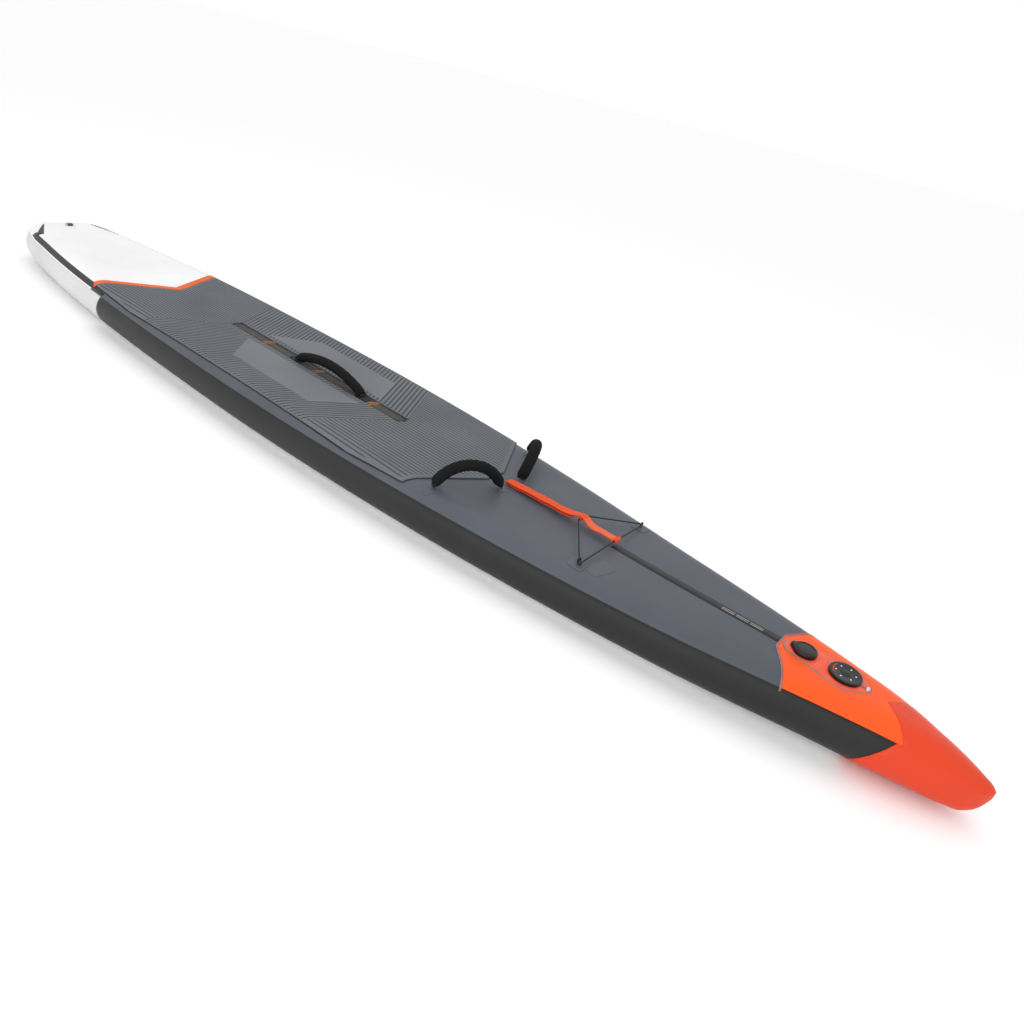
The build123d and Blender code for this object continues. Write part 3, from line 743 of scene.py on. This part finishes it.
# two rows of pale dashes on the stripe, in three groups
DASH_START = 3.578
DASH_PITCH = 0.0044
for row in (-1, 1):
    for k in range(26):
        if k % 9 == 8:
            continue
        a = DASH_START + DASH_PITCH * k
        y = 0.0035 * row
        ribbon_on_deck(f"stripe_dash_{row + 1}_{k}", [(a, y), (a + 0.0028, y)], 0.0022, tag_clear,
                       grow=0.0010, thickness=0.0003, slot="tag_clear")


def shoulder_line(height, start, end, side):
    """Places on the shoulder at a constant height."""
    found = []
    for a in stations(start, end, 0.03):
        half, low, high = hull_at(a)
        radius = min(half, (high - low) / 2)
        off = half - radius + math.sqrt(max(0.0, radius**2 - (height - (high - radius)) ** 2))
        found.append((a, side * off))
    return found


# the tapes on the tail's shoulders, each with a spur that widens from its tip
SPUR_TIP = (0.088, 0.105)
SPUR_ROOT = (0.215, 0.178)


def spur_place(t, side):
    a, off = [tip + (root - tip) * t for tip, root in zip(SPUR_TIP, SPUR_ROOT)]
    return a, side * off


for side, name in ((1, "port"), (-1, "starboard")):
    ribbon_on_deck(f"{name}_shoulder_tape", shoulder_line(0.1385, 0.165, 0.985, side), 0.019, tape_dark,
                   grow=0.0009, thickness=0.0008, columns=8, slot="rail_dark",
                   replaces=[f"{name}_accent_tape"])
    spur = [spur_place(t, side) for t in stations(0, 1, 0.1)]
    ribbon_on_deck(f"{name}_tail_spur", spur, lambda t: 0.002 + 0.030 * t, tape_dark,
                   grow=0.0011, thickness=0.0008, columns=6, slot="rail_dark")


# ------------------------------------------------------------------ handles
GUIDE = 10.0


def guide_tube(segments, steps):
    """A tube of radius 1 along an arc of radius GUIDE about the origin, a radian each way from
    straight up. Each handle piece is this tube with its points moved."""
    bm = bmesh.new()
    made = bmesh.ops.create_circle(bm, segments=segments, radius=1.0)
    bmesh.ops.rotate(bm, verts=made["verts"], cent=(0, 0, 0), matrix=Matrix.Rotation(math.pi / 2, 3, "Y"))
    bmesh.ops.translate(bm, verts=made["verts"], vec=(0, 0, GUIDE))
    bmesh.ops.rotate(bm, verts=made["verts"], cent=(0, 0, 0), matrix=Matrix.Rotation(-1, 3, "Y"))
    bmesh.ops.spin(bm, geom=bm.edges[:], cent=(0, 0, 0), axis=(0, 1, 0), angle=2, steps=steps,
                   use_merge=False, use_duplicate=False)
    return bm


def bend_guide(bm, arc_radius, limit, half_sizes):
    """Fits the guide tube to an arc. half_sizes gives its half height and half width at a place."""
    for vert in bm.verts:
        along = math.atan2(vert.co.x, vert.co.z)
        reach = math.hypot(vert.co.x, vert.co.z) - GUIDE
        across = vert.co.y
        tall, wide = half_sizes(along, reach, across)
        radius = arc_radius + reach * tall
        vert.co = Vector((radius * math.sin(along * limit), across * wide, radius * math.cos(along * limit)))
    bmesh.ops.holes_fill(bm, edges=[e for e in bm.edges if e.is_boundary])


def sleeve_sizes(along, reach, across):
    """The padded sleeve is round, and narrows where it is sewn to the webbing, with slight waves."""
    pinch = max(0.0, (abs(along) - 0.88) / 0.12) ** 1.6
    wave = 1 + 0.025 * math.sin(37 * along) * math.sin(5 * math.atan2(reach, across))
    wave += 0.02 * math.sin(90 * along)
    return 0.0163 * (1 - 0.50 * pinch) * wave, 0.0175 * (1 - 0.05 * pinch) * wave


def tape_sizes(along, reach, across):
    return 0.0026, 0.0135


def handle_pieces(name, a, off, lift, feet, rise, turn_angle, lean=0.0):
    """A handle's sleeve and the webbing in it, on an arc between two feet."""
    body = f"{name}_handle"
    arc_radius = (feet**2 / 4 + rise**2) / (2 * rise)
    drop = arc_radius - rise
    limit = math.asin(feet / 2 / arc_radius)
    sleeve_limit = limit - 0.008 / arc_radius
    place = (Matrix.Translation((x_of(a), off, lift)) @ Matrix.Rotation(turn_angle, 4, "Z")
             @ Matrix.Rotation(lean, 4, "X") @ Matrix.Translation((0, 0, -drop)))
    bm = guide_tube(28, 72)
    bend_guide(bm, arc_radius, sleeve_limit, sleeve_sizes)
    bmesh.ops.transform(bm, matrix=place, verts=bm.verts)
    sleeve = add_piece(f"{name}_sleeve", bm, sleeve_fabric, body, "neoprene", [f"{name}_handle_grip"], 60)
    bm = guide_tube(16, 60)
    bend_guide(bm, arc_radius, limit, tape_sizes)
    bmesh.ops.transform(bm, matrix=place, verts=bm.verts)
    add_piece(f"{name}_tape", bm, black_webbing, body, "black_webbing", [f"{name}_handle_webbing"], 40)


CENTRE_HANDLE = 2.010
CENTRE_FEET = 0.360
FRONT_HANDLE = 2.806
FRONT_OFF = 0.139
FRONT_FEET = 0.210
FRONT_RISE = 0.070
HANDLE_TURN = math.radians(60)
PORT_LEAN = math.radians(-16)
FRONT_LIFT = 0.1626

handle_pieces("centre", CENTRE_HANDLE, 0.0, 0.1642, CENTRE_FEET, 0.041, 0.0)
handle_pieces("port", FRONT_HANDLE, FRONT_OFF, FRONT_LIFT, FRONT_FEET, FRONT_RISE, -HANDLE_TURN, PORT_LEAN)
handle_pieces("starboard", FRONT_HANDLE, -FRONT_OFF, FRONT_LIFT, FRONT_FEET, FRONT_RISE, HANDLE_TURN)


def rounded_patch(name, a, off, size, turn_angle, material, slot, grow=0.0012, replaces=()):
    """A thin patch with round corners, pressed onto the deck."""
    bm = bmesh.new()
    bmesh.ops.create_grid(bm, x_segments=16, y_segments=16, size=0.5)
    limit_x, limit_y = size[0] / 2, size[1] / 2
    power = 5.0
    for vert in bm.verts:
        u, v = 2 * vert.co.x, 2 * vert.co.y
        # the square grid is drawn in to a rounded outline
        scale = 1.0 / max(1.0, (abs(u) ** power + abs(v) ** power) ** (1 / power))
        local = Vector((u * limit_x * scale, v * limit_y * scale, 0))
        local.rotate(Matrix.Rotation(turn_angle, 3, "Z"))
        pa, py = a + local.x, off + local.y
        vert.co = Vector((x_of(pa), py, deck_height(pa, py, grow)))
    face_up(bm)
    obj = add_piece(name, bm, material, slot=slot, replaces=replaces, recalc=False)
    return thicken(obj, 0.001)


for side, name in ((1, "port"), (-1, "starboard")):
    for end in (-1, 1):
        foot = end * FRONT_FEET / 2
        pa = FRONT_HANDLE + foot * math.cos(HANDLE_TURN)
        py = side * (FRONT_OFF - foot * math.sin(HANDLE_TURN))
        rounded_patch(f"{name}_handle_patch_{end + 1}", pa, py, (0.056, 0.044), -side * HANDLE_TURN,
                      deck_grey, "deck_grey", 0.0008,
                      replaces=["front_handle_anchors"] if side > 0 and end < 0 else ())
for end in (-1, 1):
    pa = CENTRE_HANDLE + end * CENTRE_FEET / 2
    rounded_patch(f"centre_handle_patch_{end + 1}", pa, 0, (0.060, 0.038), 0, black_webbing, "black_webbing",
                  0.0028, ["centre_handle_anchors"] if end < 0 else ())

# ------------------------------------------------------------------ cargo strap
TUNNELS = ((3.122, 0.026), (3.243, 0.020))
strap_points = [
    (2.848, 0.0105), (2.866, 0.0112), (2.880, 0.0120), (2.926, 0.0145), (3.000, 0.0180), (3.080, 0.0225),
    (3.108, 0.0300), (3.122, 0.0345), (3.136, 0.0310), (3.150, 0.0225), (3.200, 0.0200), (3.243, 0.0200),
]


def strap_height(a):
    """Height of the strap's middle above the deck."""
    return curve_through(strap_points, a)[0]


def strap_piece(name, start, end, width, thickness, lift, material, replaces=()):
    """A layer of the strap, with soft edges and a slight twist along it."""
    bm = bmesh.new()
    columns = [-1, -0.94, -0.5, 0, 0.5, 0.94, 1]
    rows = []
    for a in stations(start, end, 0.004):
        slant = 0.0008 * math.sin(a * 70)
        level = THICKNESS + strap_height(a) + lift
        verts = []
        for c in columns:
            edge = -0.0004 if abs(c) > 0.97 else 0.0
            verts.append(bm.verts.new((x_of(a), c * width / 2, level + edge + slant * c)))
        rows.append([bm.edges.new((v, w)) for v, w in zip(verts, verts[1:])])
    strip_of(bm, rows)
    face_up(bm)
    obj = add_piece(name, bm, material, slot="orange_webbing", replaces=replaces, recalc=False, sharp=50)
    return thicken(obj, thickness)


STRAP_WIDE = 0.030
STRAP_THICK = 0.0024
strap_piece("cargo_strap", 2.850, TUNNELS[1][0], STRAP_WIDE, STRAP_THICK, 0.0012, orange_webbing,
            ["deck_strap"])
strap_piece("strap_lower", 2.852, 3.096, STRAP_WIDE - 0.001, STRAP_THICK, -0.0060, orange_webbing)
strap_piece("strap_fold", 2.849, 2.874, STRAP_WIDE - 0.002, 0.0040, -0.0014, orange_webbing)
strap_piece("strap_print", 3.135, 3.236, 0.025, 0.0006, 0.0017, orange_print)


def spun_ring(profile):
    """A turned piece: a closed or open profile of (radius, height) spun round the upright axis."""
    bm = bmesh.new()
    verts = [bm.verts.new((r, 0, z)) for r, z in profile]
    edges = [bm.edges.new((v, w)) for v, w in zip(verts, verts[1:])]
    if profile[0][0] > 1e-6 and profile[-1][0] > 1e-6:
        edges.append(bm.edges.new((verts[-1], verts[0])))
    bmesh.ops.spin(bm, geom=verts + edges, cent=(0, 0, 0), axis=(0, 0, 1), angle=2 * math.pi, steps=64,
                   use_merge=True, use_duplicate=False)
    bmesh.ops.remove_doubles(bm, verts=bm.verts, dist=1e-6)
    bmesh.ops.recalc_face_normals(bm, faces=bm.faces)
    return bm


def turned(name, profile, place, material, body="board", slot=None, replaces=(), lay_y=False):
    """A turned piece at a place, upright or laid across the board."""
    bm = spun_ring(profile)
    if lay_y:
        bmesh.ops.rotate(bm, verts=bm.verts, cent=(0, 0, 0), matrix=Matrix.Rotation(math.pi / 2, 3, "X"))
    bmesh.ops.translate(bm, verts=bm.verts, vec=place)
    return add_piece(name, bm, material, body, slot, replaces, 40)


tunnel_profile = [(0.0034, -0.015), (0.0056, -0.015), (0.0060, -0.0145), (0.0060, 0.0145), (0.0056, 0.015),
                  (0.0034, 0.015)]
for number, (a, height) in enumerate(TUNNELS):
    turned(f"strap_tunnel_{number}", tunnel_profile, (x_of(a), 0, THICKNESS + height), orange_webbing,
           slot="orange_webbing", lay_y=True)
rounded_patch("strap_base_patch", 2.866, 0, (0.046, 0.046), 0, deck_patch_grey, "deck_grey",
              replaces=["strap_patch"])
for number, y in enumerate((-0.165, 0.165)):
    rounded_patch(f"bungee_patch_{number}", 3.231, y, (0.050, 0.050), 0, deck_patch_grey, "deck_grey",
                  replaces=["bungee_anchor_patches"] if number == 0 else ())
rounded_patch("starboard_seam_patch", 3.281, -0.132, (0.052, 0.085), math.radians(-15), deck_patch_grey,
              "deck_grey", 0.0006)

# ------------------------------------------------------------------ valve plate
PLATE_TOP = THICKNESS + 0.012
PLATE_ROUNDS = ((3.777, 0.031), (3.895, 0.058), (3.944, 0.024))


def belt_ring(bm, rounds, grow, height):
    """A level ring of edges: a belt round circles on the centre line."""
    verts = []
    count = 96
    for k in range(count):
        way = Vector((math.cos(2 * math.pi * (k + 0.5) / count), math.sin(2 * math.pi * (k + 0.5) / count)))
        a, radius = max(rounds, key=lambda one: one[0] * way.x + one[1])
        reach = radius + grow
        verts.append(bm.verts.new((x_of(a) + reach * way.x, reach * way.y, height)))
    return [bm.edges.new((verts[k], verts[(k + 1) % count])) for k in range(count)]


def belt_solid(rounds, levels):
    """A closed solid through level rings, given as (grow, height) from the bottom up."""
    bm = bmesh.new()
    rings = [belt_ring(bm, rounds, grow, height) for grow, height in levels]
    strip_of(bm, rings)
    bmesh.ops.holes_fill(bm, edges=rings[0] + rings[-1])
    bmesh.ops.recalc_face_normals(bm, faces=bm.faces)
    return bm


def rounded_rim(low, high, rim, grow=0.0):
    """Levels of a plain wall with a rounded top edge."""
    turns = [math.radians(90 * k / 4) for k in range(5)]
    return [(grow, low)] + [(grow - rim * (1 - math.cos(t)), high - rim * (1 - math.sin(t))) for t in turns]


bm = belt_solid(PLATE_ROUNDS, rounded_rim(PLATE_TOP - 0.006, PLATE_TOP - 0.0006, 0.002))
add_piece("valve_plate_base", bm, edge_grey, slot="edge_grey", replaces=["valve_plate_edge"])
bm = belt_solid(PLATE_ROUNDS, rounded_rim(PLATE_TOP - 0.002, PLATE_TOP, 0.0008, -0.0045))
add_piece("valve_plate_face", bm, plate_coral, slot="plate_coral", replaces=["valve_plate"])

# front cap; profiles are radius and height above the plate
FRONT = x_of(3.900)
REAR = x_of(3.799)
DOT_RADIUS = 0.0235
cap_profile = [(0.0, 0.0086), (0.030, 0.0088), (0.0345, 0.0096), (0.0385, 0.0094), (0.0400, 0.0078),
               (0.0400, 0.0014), (0.0394, 0.0007), (0.0354, 0.0007), (0.0354, 0.0070), (0.0, 0.0070)]
turned("front_cap_cover", cap_profile, (FRONT, 0, PLATE_TOP), black_gloss, "front_cap", "black_gloss",
       ["front_valve_cap"])
for k in range(6):
    bm = bmesh.new()
    bmesh.ops.create_cone(bm, cap_ends=True, segments=16, radius1=0.0021, radius2=0.0019, depth=0.0008)
    angle = math.radians(60 * k + 15)
    dot = (FRONT + DOT_RADIUS * math.cos(angle), DOT_RADIUS * math.sin(angle), PLATE_TOP + 0.0090)
    bmesh.ops.translate(bm, verts=bm.verts, vec=dot)
    add_piece(f"front_cap_dot_{k}", bm, mark_white, "front_cap", "tag_clear")
boss_profile = [(0.0, 0.0098), (0.0120, 0.0098), (0.0135, 0.0088), (0.0135, 0.0080), (0.0, 0.0080)]
turned("front_cap_boss", boss_profile, (FRONT, 0, PLATE_TOP), black_plastic, "front_cap", "black_plastic")
bm = bmesh.new()
for radius in (0.0290, 0.0320):
    turns = [math.radians(d) for d in range(150, 226, 5)]
    verts = [bm.verts.new((FRONT + radius * math.cos(t), radius * math.sin(t), PLATE_TOP + 0.0094))
             for t in turns]
    for v, w in zip(verts, verts[1:]):
        bm.edges.new((v, w))
bmesh.ops.bridge_loops(bm, edges=bm.edges)
thicken(add_piece("front_cap_arc", bm, mark_red, "front_cap", "cap_red"), 0.0006, 0.0)

# rear cap: an egg with a pull tab at its tail
bm = belt_solid(((3.799, 0.030), (3.769, 0.007)),
                [(-0.005, PLATE_TOP + 0.0072), (-0.005, PLATE_TOP + 0.0006), (-0.001, PLATE_TOP + 0.0004)]
                + rounded_rim(PLATE_TOP + 0.0010, PLATE_TOP + 0.0124, 0.0045))
add_piece("rear_cap_cover", bm, black_gloss, "rear_cap", "black_gloss", ["rear_valve_cap"], 50)
rim_profile = [(0.0200, 0.0122), (0.0215, 0.0138), (0.0232, 0.0138), (0.0245, 0.0122)]
turned("rear_cap_rim", rim_profile, (REAR, 0, PLATE_TOP), black_plastic, "rear_cap", "black_plastic")

# tag on the cap's tether
bm = belt_solid(((3.957, 0.004),), rounded_rim(PLATE_TOP, PLATE_TOP + 0.0022, 0.0006))
bmesh.ops.scale(bm, vec=(1, 2.2, 1), verts=bm.verts)
add_piece("tether_tag_face", bm, tag_clear, slot="tag_clear", replaces=["tether_tag"])

# carried-over nodes get their finishes
finishes = {
    "drop_stitch_core": tail_white, "front_valve_body": black_plastic, "front_valve_gasket": seal_rubber,
    "front_valve_nut": black_plastic, "front_valve_plunger": black_plastic, "front_valve_seal": seal_rubber,
    "front_valve_spring": spring_steel, "front_cap_ring": black_plastic, "front_cap_gasket": seal_rubber,
    "cap_tether": edge_grey, "rear_valve_body": black_plastic, "rear_valve_gasket": seal_rubber,
    "rear_valve_nut": black_plastic, "rear_valve_plunger": black_plastic, "rear_valve_seal": seal_rubber,
    "rear_valve_spring": spring_steel, "leash_patch": tail_white, "leash_loop": tail_webbing,
    "leash_ring": ring_steel, "fin_box": fin_box_black, "bungee_anchor_loops": black_webbing,
    "bungee_knot": bungee_black, "bungee_cord": bungee_black,
}
for node, material in finishes.items():
    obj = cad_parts[node]
    for material_slot in obj.material_slots:
        material_slot.material = material

# ------------------------------------------------------------------ floor and light
floor_mesh = bmesh.new()
bmesh.ops.create_grid(floor_mesh, x_segments=1, y_segments=1, size=150)
mesh = bpy.data.meshes.new("floor")
floor_mesh.to_mesh(mesh)
floor_mesh.free()
floor = bpy.data.objects.new("floor", mesh)
floor.location.z = -0.001
bpy.context.scene.collection.objects.link(floor)
mesh.materials.append(Finish("floor_paint", (0.98, 0.98, 0.98), 0.9).material)

world = bpy.data.worlds.new("studio")
bpy.context.scene.world = world
world.use_nodes = True
world.node_tree.nodes["Background"].inputs["Color"].default_value = (1, 1, 1, 1)
world.node_tree.nodes["Background"].inputs["Strength"].default_value = 1.0


def soft_light(name, place, target, size, power):
    data = bpy.data.lights.new(name, "AREA")
    data.shape = "RECTANGLE"
    data.size, data.size_y = size
    data.energy = power
    lamp = bpy.data.objects.new(name, data)
    lamp.location = place
    lamp.rotation_euler = (Vector(target) - Vector(place)).to_track_quat("-Z", "Y").to_euler()
    bpy.context.scene.collection.objects.link(lamp)


soft_light("overhead", (0.0, 0.6, 3.2), (0, 0, 0), (5.0, 2.5), 22)
soft_light("starboard_side", (0.9, -3.4, 1.1), (0.5, 0, 0.1), (5.0, 0.9), 34)
